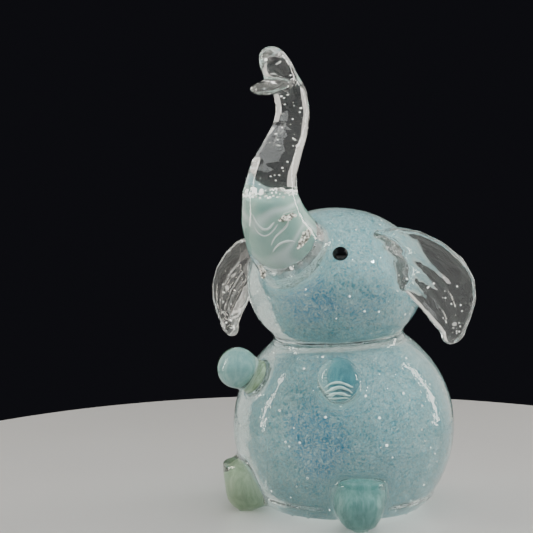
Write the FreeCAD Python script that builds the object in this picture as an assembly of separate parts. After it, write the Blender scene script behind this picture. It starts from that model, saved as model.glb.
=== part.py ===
import FreeCAD, Part
import math
import os

# Solid glass elephant, seated, trunk raised. Millimetres, +Z up, origin at the centre of the ground
# flat it rests on. It faces -Y, so its own left side is +X.

Vector = FreeCAD.Vector

# ---- body: a clear gather over a coloured core, ground flat below ----
BODY_RADIUS = 37.3
BODY_GROUND_OFF = 10.3        # lost from the bottom of the belly where it is ground flat
BASE_EDGE_RADIUS = 16.0       # soft roll from the belly down to the flat
BODY_WALL = 12.5              # clear glass between the core and the outer skin

# ---- neck: head and body are pressed together while soft, on one flat joint ----
NECK_LEAN = 6.3               # degrees that the head sits forward of the body's axis
BODY_FLATTENED = 5.9          # lost from the top of the belly at the joint
HEAD_FLATTENED = 6.0          # lost from the bottom of the head at the joint
SEAL_SECTION_RADIUS = 1.8     # clear thread wound into the neck's groove
SEAL_STAND_OUT = 0.46         # thread's centre outside the edge of the smaller of the two flats

# ---- head: a flattened ball, cased as the body is ----
HEAD_RADIUS = 29.5
HEAD_HALF_HEIGHT = 24.4
HEAD_WALL = 9.5
HEAD_ROLL = 2.7               # degrees, left side up

# ---- trunk: one drawn bit, thick at the face and thin at the tip ----
TRUNK_SUNK = 15.5             # how deep its first section lies inside the front of the head
TRUNK_ROOT_RISE = 4.0         # first section above the head's centre
TRUNK_ROOT_RADIUS = 13.0
TRUNK_REACH = 24.4            # furthest forward of the first section
TRUNK_RISE = 68.0             # last section above the first
OPAL_WALL = 4.0               # clear glass round the opal tongue in the trunk's root
OPAL_FIRST, OPAL_LAST = 2, 4  # sections of the trunk that the tongue runs between
LIP_RADIUS = 6.9
LIP_HALF_THICKNESS = 2.4
LIP_RISE = 58.4               # lip above the trunk's first section
LIP_FORWARD = 18.2            # lip forward of the trunk's first section
LIP_TILT = 12.0               # degrees, front edge down

# ---- ears: pressed leaves with a hollow front, a thick rim and a drop at the tip ----
LEFT_EAR_REACH = 30.0         # root to outer edge
LEFT_EAR_HEIGHT = 36.0        # top edge to tip
LEFT_EAR_DROOP = 0.0          # degrees turned down about the root
RIGHT_EAR_REACH = 31.5
RIGHT_EAR_HEIGHT = 33.0
RIGHT_EAR_DROOP = 5.0
EAR_THICKNESS = 6.0
EAR_EDGE_RADIUS = 2.0
EAR_SUNK = 6.5                # root inside the side of the head
EAR_FORWARD = 9.0             # root ahead of the head's centre
EAR_SWEEP = 18.0              # degrees that the outer edge lies back
EAR_DISH_DEPTH = 3.0
EAR_RIM = 4.5
EAR_ROOT_RISE = 10.0          # middle of the root above the head's centre

# ---- eyes, paws, feet, tail ----
EYE_RADIUS = 2.5
EYE_PROUD = 0.6               # eye centre outside the head's skin
EYE_BESIDE_TRUNK = 2.78       # eye centre outside the trunk's root, measured sideways
EYE_RISE = 24.5               # degrees above the head's middle, as the skin is stretched flat
PAW_RADIUS = 6.7
PAW_STANDOFF = 7.6            # centre of the paw's end outside the belly
PAW_TURN = 29.5
PAW_RISE = 29.5
FOOT_RADIUS = 8.3
FOOT_HEIGHT = 16.2            # flat top of the foot above its round underside
FOOT_TOP_ROLL = 1.6           # soft edge round the flat top
FOOT_SET_IN = 4.3             # centre of the foot's end inside the belly's largest radius
FOOT_TURN = 40.7
FOOT_CLEAR = 0.2              # feet just clear the ground, so that the flat carries the weight
TAIL_ROOT_RADIUS = 4.2
TAIL_TIP_RADIUS = 2.6
TAIL_HEIGHT = 17.0
TAIL_LENGTH = 13.0
LIMB_ROOT_DEPTH = 16.0        # how far back inside the belly a paw's bit is drawn from

# Centre line and girth of the trunk: shares of its reach, of its rise and of its root radius.
# It comes out of the face, bows forward, draws back over the brow and flicks forward at the tip.
TRUNK_LINE = [
    (0.00, 0.000, 1.00),
    (0.41, 0.088, 0.98),
    (0.75, 0.184, 0.91),
    (0.93, 0.287, 0.77),
    (0.99, 0.390, 0.65),
    (0.91, 0.493, 0.55),
    (0.72, 0.584, 0.48),
    (0.54, 0.674, 0.43),
    (0.47, 0.757, 0.40),
    (0.53, 0.831, 0.40),
    (0.70, 0.897, 0.38),
    (0.88, 0.959, 0.34),
    (1.00, 1.000, 0.24),
]

DISH_PLACE = (0.60, 0.06)     # middle of the hollow, as shares of an ear's reach and height

# Outline of an ear: shares of its reach and of its height, from the root round over the top.
EAR_OUTLINE = [
    (-0.06, 0.49),
    (0.26, 0.50),
    (0.56, 0.41),
    (0.82, 0.26),
    (0.97, 0.09),
    (1.00, -0.09),
    (0.93, -0.27),
    (0.87, -0.41),
    (0.79, -0.49),
    (0.68, -0.49),
    (0.59, -0.42),
    (0.46, -0.29),
    (0.30, -0.14),
    (0.14, 0.04),
    (-0.06, 0.20),
]


def polar(turn, rise):
    """Unit vector turned from straight ahead towards the left side, and raised, both in degrees."""
    a = math.radians(turn)
    b = math.radians(rise)
    return Vector(math.sin(a) * math.cos(b), -math.cos(a) * math.cos(b), math.sin(b))


def other_side(shape):
    return shape.mirror(Vector(0, 0, 0), Vector(1, 0, 0))


def spheroid(radius, half_height, centre):
    ball = Part.makeSphere(1.0)
    stretch = FreeCAD.Matrix()
    stretch.scale(radius, radius, half_height)
    solid = ball.transformGeometry(stretch)
    solid.translate(centre)
    return solid


def half_space(point, normal, size):
    """A large block on the side of a plane that its normal points to."""
    block = Part.makeBox(2 * size, 2 * size, size, Vector(-size, -size, 0))
    turn = FreeCAD.Rotation(Vector(0, 0, 1), normal)
    block.Placement = FreeCAD.Placement(point, turn)
    return block


def drawn_bit(points, radii):
    """A bit of glass drawn out along a line: round sections, closed by a round end."""
    sections = []
    last = len(points) - 1
    for i, point in enumerate(points):
        tangent = points[min(i + 1, last)] - points[max(i - 1, 0)]
        circle = Part.makeCircle(radii[i], point, tangent)
        sections.append(Part.Wire([circle]))
    stem = Part.makeLoft(sections, True, False)
    end = Part.makeSphere(radii[-1], points[-1])
    return stem.fuse(end).removeSplitter()


def largest_solid(shape):
    """The bit itself, without the crumbs that a cut leaves on the far side of a joint."""
    return max(shape.Solids, key=lambda solid: solid.Volume)


# ---- places that the pieces share ----
body_centre = Vector(0, 0, BODY_RADIUS - BODY_GROUND_OFF)
lean = math.radians(NECK_LEAN)
neck_axis = Vector(0, -math.sin(lean), math.cos(lean))
neck_centre = body_centre + neck_axis * (BODY_RADIUS - BODY_FLATTENED)
head_centre = neck_centre + neck_axis * (HEAD_HALF_HEIGHT - HEAD_FLATTENED)
body_flat_radius = math.sqrt(BODY_RADIUS ** 2 - (BODY_RADIUS - BODY_FLATTENED) ** 2)
head_flat_radius = HEAD_RADIUS * math.sqrt(1 - (1 - HEAD_FLATTENED / HEAD_HALF_HEIGHT) ** 2)
seal_radius = min(body_flat_radius, head_flat_radius) + SEAL_STAND_OUT
reach_of_model = 4 * (BODY_RADIUS + HEAD_RADIUS)


def roll_head(shape):
    shape.rotate(head_centre, Vector(0, 1, 0), -HEAD_ROLL)
    return shape


def make_belly():
    """Outside of the body: a ball whose underside rolls into the ground flat."""
    corner_x = math.sqrt((BODY_RADIUS - BASE_EDGE_RADIUS) ** 2
                         - (body_centre.z - BASE_EDGE_RADIUS) ** 2)
    corner = Vector(corner_x, 0, BASE_EDGE_RADIUS)
    away = (corner - body_centre).normalize()
    flat_edge = Vector(corner_x, 0, 0)
    tangent_point = body_centre + away * BODY_RADIUS
    half_turn = (away + Vector(0, 0, -1)).normalize()
    corner_middle = corner + half_turn * BASE_EDGE_RADIUS
    top = body_centre + Vector(0, 0, BODY_RADIUS)
    side = body_centre + Vector(BODY_RADIUS, 0, 0)
    outline = Part.Wire([
        Part.LineSegment(Vector(0, 0, 0), flat_edge).toShape(),
        Part.Arc(flat_edge, corner_middle, tangent_point).toShape(),
        Part.Arc(tangent_point, side, top).toShape(),
        Part.LineSegment(top, Vector(0, 0, 0)).toShape(),
    ])
    return Part.Face(outline).revolve(Vector(0, 0, 0), Vector(0, 0, 1), 360).Solids[0]


def make_body_core():
    core_radius = BODY_RADIUS - BODY_WALL
    return Part.makeSphere(core_radius, body_centre)


def make_head_core():
    return roll_head(spheroid(HEAD_RADIUS - HEAD_WALL, HEAD_HALF_HEIGHT - HEAD_WALL, head_centre))


def make_skull():
    """Outside of the head before anything is let into it."""
    return roll_head(spheroid(HEAD_RADIUS, HEAD_HALF_HEIGHT, head_centre))


def make_neck_seal(body, head):
    ring = Part.makeTorus(seal_radius, SEAL_SECTION_RADIUS, neck_centre, neck_axis)
    return largest_solid(ring.cut(body).cut(head))


def trunk_sections(first, last):
    root = head_centre + Vector(0, TRUNK_SUNK - HEAD_RADIUS, TRUNK_ROOT_RISE)
    points = []
    radii = []
    for forward, rise, girth in TRUNK_LINE[first:last + 1]:
        points.append(root + Vector(0, -forward * TRUNK_REACH, rise * TRUNK_RISE))
        radii.append(girth * TRUNK_ROOT_RADIUS)
    return points, radii


def make_trunk_core(skull):
    points, radii = trunk_sections(OPAL_FIRST, OPAL_LAST)
    inner = [radius - OPAL_WALL for radius in radii]
    return largest_solid(drawn_bit(points, inner).cut(skull))


def make_trunk(skull, opal):
    points, radii = trunk_sections(0, len(TRUNK_LINE) - 1)
    return largest_solid(drawn_bit(points, radii).cut(skull).cut(opal))


def make_trunk_lip(trunk):
    root = head_centre + Vector(0, TRUNK_SUNK - HEAD_RADIUS, TRUNK_ROOT_RISE)
    place = root + Vector(0, -LIP_FORWARD, LIP_RISE)
    disc = spheroid(LIP_RADIUS, LIP_HALF_THICKNESS, place)
    disc.rotate(place, Vector(1, 0, 0), LIP_TILT)
    return largest_solid(disc.cut(trunk))


def make_ear(side, reach, height, droop, skull):
    """A leaf in its own upright plane, hollowed in front, then swept back and set into the head."""
    points = [Vector(u * reach, 0, v * height) for u, v in EAR_OUTLINE]
    curve = Part.BSplineCurve()
    curve.interpolate(points, PeriodicFlag=True)
    leaf = Part.Face(Part.Wire([curve.toShape()]))
    plate = leaf.extrude(Vector(0, EAR_THICKNESS, 0))
    plate.translate(Vector(0, -EAR_THICKNESS / 2, 0))
    rims = [edge for edge in plate.Edges if edge.BoundBox.YLength < EAR_THICKNESS / 10]
    plate = plate.makeFillet(EAR_EDGE_RADIUS, rims)
    dish_radius = min(reach, height) / 2 - EAR_RIM
    dish = spheroid(dish_radius, EAR_DISH_DEPTH, Vector(0, 0, 0))
    dish.rotate(Vector(0, 0, 0), Vector(1, 0, 0), 90)
    dish.translate(Vector(DISH_PLACE[0] * reach, -EAR_THICKNESS / 2, DISH_PLACE[1] * height))
    plate = plate.cut(dish)
    plate.rotate(Vector(0, 0, EAR_ROOT_RISE), Vector(0, 1, 0), droop)
    plate.rotate(Vector(0, 0, 0), Vector(0, 0, 1), EAR_SWEEP)
    plate.translate(head_centre + Vector(HEAD_RADIUS - EAR_SUNK, -EAR_FORWARD, 0))
    if side < 0:
        plate = other_side(plate)
    return largest_solid(roll_head(plate).cut(skull))


def make_eye(side):
    b = math.radians(EYE_RISE)
    across = HEAD_RADIUS * math.cos(b)
    beside = TRUNK_ROOT_RADIUS + EYE_BESIDE_TRUNK
    ahead = math.sqrt(across ** 2 - beside ** 2)
    skin = Vector(side * beside, -ahead, HEAD_HALF_HEIGHT * math.sin(b))
    outward = Vector(skin.x, skin.y, skin.z * (HEAD_RADIUS / HEAD_HALF_HEIGHT) ** 2).normalize()
    ball = Part.makeSphere(EYE_RADIUS, head_centre + skin + outward * EYE_PROUD)
    return roll_head(ball)


def make_paw(belly):
    direction = polar(PAW_TURN, PAW_RISE)
    end = body_centre + direction * (BODY_RADIUS + PAW_STANDOFF)
    points = [end - direction * LIMB_ROOT_DEPTH, end - direction * LIMB_ROOT_DEPTH / 2, end]
    radii = [PAW_RADIUS * 1.05, PAW_RADIUS, PAW_RADIUS]
    return largest_solid(drawn_bit(points, radii).cut(belly))


def make_foot(belly):
    """An upright cup, round below and flat on top, pressed against the belly."""
    middle = polar(FOOT_TURN, 0) * (BODY_RADIUS - FOOT_SET_IN) + Vector(0, 0, FOOT_RADIUS + FOOT_CLEAR)
    upper = Part.makeCylinder(FOOT_RADIUS, FOOT_HEIGHT - FOOT_RADIUS, middle)
    top_edge = [edge for edge in upper.Edges if edge.BoundBox.ZMin > middle.z + FOOT_RADIUS / 10]
    upper = upper.makeFillet(FOOT_TOP_ROLL, top_edge)
    lower = Part.makeSphere(FOOT_RADIUS, middle, Vector(0, 0, 1), -90, 0, 360)
    return largest_solid(lower.fuse(upper).removeSplitter().cut(belly))


def make_tail(belly):
    drop = body_centre.z - TAIL_HEIGHT
    skin = math.sqrt(BODY_RADIUS ** 2 - drop ** 2)
    points = [
        Vector(0, skin - TAIL_ROOT_RADIUS, TAIL_HEIGHT + 1),
        Vector(0, skin + TAIL_ROOT_RADIUS / 3, TAIL_HEIGHT),
        Vector(0, skin + TAIL_ROOT_RADIUS, TAIL_HEIGHT - 0.45 * TAIL_LENGTH),
        Vector(0, skin + TAIL_ROOT_RADIUS, TAIL_HEIGHT - TAIL_LENGTH + TAIL_TIP_RADIUS),
    ]
    radii = [TAIL_ROOT_RADIUS, TAIL_ROOT_RADIUS * 0.8, TAIL_TIP_RADIUS * 0.9, TAIL_TIP_RADIUS]
    return largest_solid(drawn_bit(points, radii).cut(belly))


def build():
    belly = make_belly()
    skull = make_skull()
    above_neck = half_space(neck_centre, neck_axis, reach_of_model)
    below_neck = half_space(neck_centre, neck_axis * -1, reach_of_model)
    body = belly.cut(above_neck)
    head = skull.cut(below_neck)

    parts = {}
    parts["body_core"] = make_body_core()
    parts["body_casing"] = largest_solid(body.cut(parts["body_core"]))
    parts["neck_seal"] = make_neck_seal(body, head)
    parts["head_core"] = make_head_core()
    casing = head.cut(parts["head_core"])
    for name, side in (("left", 1), ("right", -1)):
        parts[name + "_eye"] = make_eye(side)
        casing = casing.cut(parts[name + "_eye"])
    parts["head_casing"] = largest_solid(casing)
    parts["left_ear"] = make_ear(1, LEFT_EAR_REACH, LEFT_EAR_HEIGHT, LEFT_EAR_DROOP, head)
    parts["right_ear"] = make_ear(-1, RIGHT_EAR_REACH, RIGHT_EAR_HEIGHT, RIGHT_EAR_DROOP, head)
    parts["left_paw"] = make_paw(body)
    parts["left_foot"] = make_foot(body)
    parts["right_paw"] = other_side(parts["left_paw"])
    parts["right_foot"] = other_side(parts["left_foot"])
    parts["trunk_core"] = make_trunk_core(head)
    parts["trunk"] = make_trunk(head, parts["trunk_core"])
    parts["trunk_lip"] = make_trunk_lip(parts["trunk"])
    parts["tail"] = make_tail(body)
    return parts


os.makedirs("parts", exist_ok=True)
for node, solid in build().items():
    solid.exportStep("parts/" + node + ".step")
    print(node, round(solid.Volume), "mm3")
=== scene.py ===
import math
import random

import bmesh
import bpy
from mathutils import Matrix, Vector


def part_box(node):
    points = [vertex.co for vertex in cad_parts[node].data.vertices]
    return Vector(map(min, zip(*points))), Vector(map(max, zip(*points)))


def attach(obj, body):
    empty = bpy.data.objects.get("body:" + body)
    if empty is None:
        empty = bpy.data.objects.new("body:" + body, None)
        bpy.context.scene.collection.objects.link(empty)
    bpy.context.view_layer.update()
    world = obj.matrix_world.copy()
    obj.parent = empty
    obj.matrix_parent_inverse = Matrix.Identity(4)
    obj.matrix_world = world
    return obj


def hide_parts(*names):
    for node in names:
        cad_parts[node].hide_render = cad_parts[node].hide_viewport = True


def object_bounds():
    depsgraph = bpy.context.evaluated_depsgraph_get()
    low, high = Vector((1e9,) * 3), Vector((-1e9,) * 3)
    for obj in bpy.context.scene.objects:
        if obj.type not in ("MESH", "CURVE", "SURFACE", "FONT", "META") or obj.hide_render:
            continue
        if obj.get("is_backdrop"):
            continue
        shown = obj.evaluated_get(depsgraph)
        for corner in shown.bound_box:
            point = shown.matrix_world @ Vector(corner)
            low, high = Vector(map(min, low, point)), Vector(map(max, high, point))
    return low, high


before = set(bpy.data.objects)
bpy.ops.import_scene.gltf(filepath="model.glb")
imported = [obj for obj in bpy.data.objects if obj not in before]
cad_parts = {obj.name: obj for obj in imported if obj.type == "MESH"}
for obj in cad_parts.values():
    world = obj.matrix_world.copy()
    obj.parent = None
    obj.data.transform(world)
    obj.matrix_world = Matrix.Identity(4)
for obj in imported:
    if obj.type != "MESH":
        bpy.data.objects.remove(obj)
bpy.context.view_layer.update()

# Camera and stage. A pale table top, a plain dark surround that lets clear glass show its edges,
# and soft lamps with a few small bright ones for the points of light on polished glass.
VIEW_TURN = math.radians(35)
VIEW_TILT = math.radians(5)
EYE_PLACE = (0.23456, -0.38053, 0.11993)
LENS_LENGTH = 90
SENSOR_WIDTH = 36
NEAREST_SEEN = 0.01

bpy.ops.object.camera_add(location=EYE_PLACE, rotation=(math.radians(90) - VIEW_TILT, 0, VIEW_TURN))
camera = bpy.context.object
camera.data.lens = LENS_LENGTH
camera.data.sensor_width = SENSOR_WIDTH
camera.data.clip_start = NEAREST_SEEN
bpy.context.scene.camera = camera

to_right = Vector((math.cos(VIEW_TURN), math.sin(VIEW_TURN), 0))
to_viewer = Vector((math.sin(VIEW_TURN), -math.cos(VIEW_TURN), 0))
up = Vector((0, 0, 1))

LAMP_AIM_HEIGHT = 0.07
WARM_WHITE = (1.0, 0.95, 0.87)
# name, right, near, height, width, depth, watts, tint, and whether the glass mirrors it
LAMPS = [
    ("lamp_overhead", 0.05, 0.10, 0.62, 0.45, 0.45, 2.4, (1.0, 0.98, 0.95), False),
    ("lamp_left", -0.50, -0.02, 0.20, 0.05, 0.45, 1.0, (1.0, 0.93, 0.84), True),
    ("lamp_right", 0.48, -0.12, 0.22, 0.05, 0.42, 1.0, (1.0, 0.94, 0.86), True),
    ("lamp_front", 0.30, 0.85, 0.45, 0.40, 0.40, 2.0, (0.95, 0.98, 1.0), False),
    ("panel_left", -0.44, -0.40, 0.22, 0.38, 0.60, 0.70, WARM_WHITE, True),
    ("panel_right", 0.44, -0.40, 0.22, 0.38, 0.60, 0.70, WARM_WHITE, True),
]


def soft_lamp(name, right, near, height, width, depth, watts, tint, mirrored):
    """A rectangular lamp placed as the viewer sees it, facing the middle of the figurine."""
    place = to_right * right + to_viewer * near + up * height
    facing = (place - up * LAMP_AIM_HEIGHT).to_track_quat("Z", "Y")
    bpy.ops.object.light_add(type="AREA", location=place, rotation=facing.to_euler())
    lamp = bpy.context.object
    lamp.name = name
    lamp.data.shape = "RECTANGLE"
    lamp.data.size = width
    lamp.data.size_y = depth
    lamp.data.energy = watts
    lamp.data.color = tint
    lamp.visible_glossy = mirrored


for lamp_row in LAMPS:
    soft_lamp(*lamp_row)

SPARK_WATTS = 0.20
SPARK_RADIUS = 0.0025
# right, near, height
SPARK_PLACES = [(0.22, 0.30, 0.40), (0.30, 0.22, 0.36), (0.12, 0.34, 0.44), (-0.10, 0.30, 0.42),
                (-0.28, 0.22, 0.34), (0.36, 0.05, 0.40)]
for right, near, height in SPARK_PLACES:
    bpy.ops.object.light_add(type="POINT", location=to_right * right + to_viewer * near + up * height)
    spark = bpy.context.object
    spark.name = "lamp_spark"
    spark.data.energy = SPARK_WATTS
    spark.data.shadow_soft_size = SPARK_RADIUS

SURROUND_GREY = (0.006, 0.006, 0.008, 1)
CLEAR_LAYERS = 48
world = bpy.data.worlds.new("surround")
world.use_nodes = True
world.node_tree.nodes["Background"].inputs["Color"].default_value = SURROUND_GREY
bpy.context.scene.world = world
bpy.context.scene.cycles.transparent_max_bounces = CLEAR_LAYERS


class Flow:
    """A value in a finish's node tree. Sums and products on it add Math nodes."""

    def __init__(self, tree, socket):
        self.tree = tree
        self.socket = socket

    def math(self, operation, other, swapped=False):
        node = self.tree.nodes.new("ShaderNodeMath")
        node.operation = operation
        pair = (other, self) if swapped else (self, other)
        for place, value in enumerate(pair):
            if isinstance(value, Flow):
                self.tree.links.new(value.socket, node.inputs[place])
            else:
                node.inputs[place].default_value = value
        return Flow(self.tree, node.outputs[0])

    def __add__(self, other):
        return self.math("ADD", other)

    __radd__ = __add__

    def __mul__(self, other):
        return self.math("MULTIPLY", other)

    __rmul__ = __mul__

    def __sub__(self, other):
        return self.math("SUBTRACT", other)

    def __rsub__(self, other):
        return self.math("SUBTRACT", other, swapped=True)

    def __pow__(self, other):
        return self.math("POWER", other)

    def __abs__(self):
        return self.math("ABSOLUTE", 0)

    def clamped(self):
        node = self.math("MULTIPLY", 1)
        node.socket.node.use_clamp = True
        return node


class Finish:
    """One material and its node tree."""

    # where a Mix node keeps its two colours and the mixed one
    FIRST_COLOUR = 6
    SECOND_COLOUR = 7
    MIXED_COLOUR = 2

    def __init__(self, name):
        self.material = bpy.data.materials.new(name)
        self.material.use_nodes = True
        self.tree = self.material.node_tree
        self.tree.nodes.clear()
        self.out = self.node("ShaderNodeOutputMaterial")

    def node(self, kind, settings=None, **sockets):
        """Adds a node: its settings first, then the values or links of its sockets."""
        node = self.tree.nodes.new(kind)
        for key, value in (settings or {}).items():
            setattr(node, key, value)
        for key, value in sockets.items():
            socket = node.inputs[key.replace("_", " ")]
            if isinstance(value, Flow):
                self.tree.links.new(value.socket, socket)
            elif isinstance(value, bpy.types.NodeSocket):
                self.tree.links.new(value, socket)
            else:
                socket.default_value = value
        return node

    def place(self, stretch=(1, 1, 1), shift=(0, 0, 0)):
        """Object coordinates, stretched along the axes and shifted."""
        where = self.node("ShaderNodeTexCoord")
        mapped = self.node("ShaderNodeMapping", Vector=where.outputs["Object"], Scale=stretch,
                           Location=shift)
        return mapped.outputs["Vector"]

    def noise(self, scale, detail=2.0, distortion=0.0, stretch=(1, 1, 1)):
        node = self.node("ShaderNodeTexNoise", Vector=self.place(stretch), Scale=scale, Detail=detail,
                         Distortion=distortion)
        return Flow(self.tree, node.outputs["Fac"])

    def blend(self, amount, first, second):
        node = self.node("ShaderNodeMix", {"data_type": "RGBA"})
        self.tree.links.new(amount.socket, node.inputs[0])
        for place, colour in ((self.FIRST_COLOUR, first), (self.SECOND_COLOUR, second)):
            if isinstance(colour, bpy.types.NodeSocket):
                self.tree.links.new(colour, node.inputs[place])
            else:
                node.inputs[place].default_value = (*colour, 1)
        return node.outputs[self.MIXED_COLOUR]

    def done(self, shader):
        self.tree.links.new(shader.outputs[0], self.out.inputs["Surface"])
        return self.material


TABLE_RADIUS = 0.2
TABLE_THICKNESS = 0.012
TABLE_MIDDLE = (0, 0, -0.0061)
TABLE_SIDES = 192
TABLE_GREY = (0.74, 0.74, 0.73)
TABLE_PALE = (0.80, 0.80, 0.79)
SHARP_RIM = math.radians(40)
table = Finish("table_top")
grain = table.noise(9.0, detail=3.0)
table_shader = table.node("ShaderNodeBsdfPrincipled", Roughness=0.32,
                          Base_Color=table.blend(grain, TABLE_GREY, TABLE_PALE))
bpy.ops.mesh.primitive_cylinder_add(vertices=TABLE_SIDES, radius=TABLE_RADIUS, depth=TABLE_THICKNESS,
                                    location=TABLE_MIDDLE)
table_top = bpy.context.object
table_top.name = "table"
bpy.ops.object.shade_smooth_by_angle(angle=SHARP_RIM)
table_top.data.materials.append(table.done(table_shader))
table_top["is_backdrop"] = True


# Belly. A heavy gather of clear crystal, rolled to a ball in a wet wooden block while hot. Its underside
# is ground flat when cold, and the edge of the flat is rolled soft.
MM = 0.001
core_low, core_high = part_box("body_core")
casing_low, casing_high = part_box("body_casing")
belly = (Vector(core_low) + Vector(core_high)) / 2
belly_radius = (casing_high[0] - casing_low[0]) / 2
BASE_ROLL = 7.3 * MM
BASE_ROLL_STEPS = 8
GROUND_LEVEL = 0.01 * MM
BALL_SEGMENTS = 96
BALL_RINGS = 64


def start_edit(piece):
    """Makes a piece the only one selected and opens it for editing."""
    bpy.ops.object.select_all(action="DESELECT")
    piece.select_set(True)
    bpy.context.view_layer.objects.active = piece
    bpy.ops.object.mode_set(mode="EDIT")


def end_edit():
    bpy.ops.object.mode_set(mode="OBJECT")


def fix_place(piece):
    """Puts a piece's place, turn and size into its mesh."""
    bpy.ops.object.select_all(action="DESELECT")
    piece.select_set(True)
    bpy.context.view_layer.objects.active = piece
    bpy.ops.object.transform_apply(location=True, rotation=True, scale=True)


def pick(piece, kind, wanted):
    """Selects the vertices, edges or faces whose middle passes a test."""
    bpy.ops.mesh.select_all(action="DESELECT")
    bpy.ops.mesh.select_mode(type=kind)
    mesh = bmesh.from_edit_mesh(piece.data)
    items = {"VERT": mesh.verts, "EDGE": mesh.edges, "FACE": mesh.faces}[kind]
    for item in items:
        if kind == "VERT":
            middle = item.co
        elif kind == "EDGE":
            middle = (item.verts[0].co + item.verts[1].co) / 2
        else:
            middle = item.calc_center_median()
        if wanted(middle):
            item.select_set(True)
    mesh.select_flush_mode()
    bmesh.update_edit_mesh(piece.data)


bpy.ops.object.select_all(action="DESELECT")
bpy.ops.mesh.primitive_uv_sphere_add(segments=BALL_SEGMENTS, ring_count=BALL_RINGS, radius=belly_radius,
                                     location=belly)
ball = bpy.context.object
fix_place(ball)
start_edit(ball)
bpy.ops.mesh.select_all(action="SELECT")
bpy.ops.mesh.bisect(plane_co=(0, 0, 0), plane_no=(0, 0, -1), use_fill=True, clear_outer=True)
pick(ball, "EDGE", lambda middle: middle.z < GROUND_LEVEL)
bpy.ops.mesh.bevel(offset=BASE_ROLL, segments=BASE_ROLL_STEPS, profile=0.5)
end_edit()
hot_bits = [ball]


# Head. A smaller solid gather, rolled to the same round shape and flattened, then stuck to the belly on a
# short hot joint with a thread of clear glass wound round it. It sits forward and a little rolled.
NECK_LEAN = math.radians(6.3)
BODY_FLATTENED = 5.9 * MM
HEAD_RADIUS = 29.5 * MM
HEAD_HALF_HEIGHT = 24.4 * MM
HEAD_ROLL = math.radians(2.7)
THREAD_RADIUS = 1.5 * MM
THREAD_SUNK = 0.2 * MM
THREAD_SEGMENTS = 96
THREAD_SIDES = 16

head_low, head_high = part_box("head_core")
head = (Vector(head_low) + Vector(head_high)) / 2
neck_axis = Vector((0, -math.sin(NECK_LEAN), math.cos(NECK_LEAN)))
neck = belly + neck_axis * (belly_radius - BODY_FLATTENED)
neck_radius = math.sqrt(belly_radius ** 2 - (belly_radius - BODY_FLATTENED) ** 2)

bpy.ops.mesh.primitive_uv_sphere_add(segments=BALL_SEGMENTS, ring_count=BALL_RINGS, radius=1, location=head,
                                     rotation=(0, -HEAD_ROLL, 0),
                                     scale=(HEAD_RADIUS, HEAD_RADIUS, HEAD_HALF_HEIGHT))
skull = bpy.context.object
fix_place(skull)
hot_bits.append(skull)

bpy.ops.mesh.primitive_torus_add(major_radius=neck_radius - THREAD_SUNK, minor_radius=THREAD_RADIUS,
                                 major_segments=THREAD_SEGMENTS, minor_segments=THREAD_SIDES, location=neck,
                                 rotation=neck_axis.to_track_quat("Z", "Y").to_euler())
thread = bpy.context.object
fix_place(thread)
hot_bits.append(thread)


# Trunk. A clear bit drawn up from the face while hot, bowed forward, brought back over the brow and
# flicked forward at the tip. Each row is forward of the head's middle, above it, and the radius.
TRUNK_LINE = [
    (14.0, 4.0, 13.0),
    (24.0, 10.0, 12.8),
    (32.3, 16.5, 11.9),
    (36.7, 23.5, 10.1),
    (38.2, 30.5, 8.5),
    (36.2, 37.5, 7.3),
    (31.6, 43.7, 6.4),
    (27.2, 49.8, 5.7),
    (25.5, 55.5, 5.3),
    (26.9, 60.5, 5.2),
    (30.6, 64.6, 4.8),
    (34.6, 68.4, 4.9),
    (37.4, 71.3, 4.3),
    (38.8, 73.2, 3.2),
    (39.3, 74.4, 1.6),
]


DRAWN_SIDES = 32


def draw_bit(name, line, sides=DRAWN_SIDES):
    """A round bit drawn along a line: forward, up and radius at each place, in millimetres."""
    last = len(line) - 1
    forward, rise, radius = line[0]
    lean = math.atan2(line[1][0] - forward, line[1][1] - rise)
    bpy.ops.object.select_all(action="DESELECT")
    bpy.ops.mesh.primitive_circle_add(vertices=sides, radius=radius * MM, fill_type="NGON",
                                      location=(0, -forward * MM, rise * MM), rotation=(lean, 0, 0))
    bit = bpy.context.object
    bit.name = name
    fix_place(bit)
    start_edit(bit)
    bpy.ops.mesh.select_all(action="SELECT")
    for i in range(1, last + 1):
        step_forward = line[i][0] - line[i - 1][0]
        step_rise = line[i][1] - line[i - 1][1]
        middle = (0, -line[i][0] * MM, line[i][1] * MM)
        move = (0, -step_forward * MM, step_rise * MM)
        bpy.ops.mesh.extrude_region_move(TRANSFORM_OT_translate={"value": move})
        grow = line[i][2] / line[i - 1][2]
        bpy.ops.transform.resize(value=(grow, grow, grow), center_override=middle)
        after = min(i + 1, last)
        heading = math.atan2(line[after][0] - line[i - 1][0], line[after][1] - line[i - 1][1])
        bpy.ops.transform.rotate(value=lean - heading, orient_axis="X", center_override=middle)
        lean = heading
    bpy.ops.mesh.select_all(action="SELECT")
    bpy.ops.mesh.normals_make_consistent(inside=False)
    end_edit()
    return bit


trunk_bit = draw_bit("trunk_bit", TRUNK_LINE)
trunk_bit.location = head
fix_place(trunk_bit)
hot_bits.append(trunk_bit)


# Lip of the trunk. A small bit is dropped on below the tip and pinched flat with the jacks, so that it
# stands out in front as the lower lip of the raised trunk.
LIP_PLACE = (37.4, 62.6)
LIP_RADIUS = 6.7
LIP_HALF_THICKNESS = 2.3
LIP_TILT = math.radians(12)
DROP_SEGMENTS = 40
DROP_RINGS = 24
bpy.ops.mesh.primitive_uv_sphere_add(
    segments=DROP_SEGMENTS, ring_count=DROP_RINGS, radius=1, rotation=(LIP_TILT, 0, 0),
    location=head + Vector((0, -LIP_PLACE[0] * MM, LIP_PLACE[1] * MM)),
    scale=(LIP_RADIUS * MM, LIP_RADIUS * MM, LIP_HALF_THICKNESS * MM))
lip_bit = bpy.context.object
fix_place(lip_bit)
hot_bits.append(lip_bit)


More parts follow.
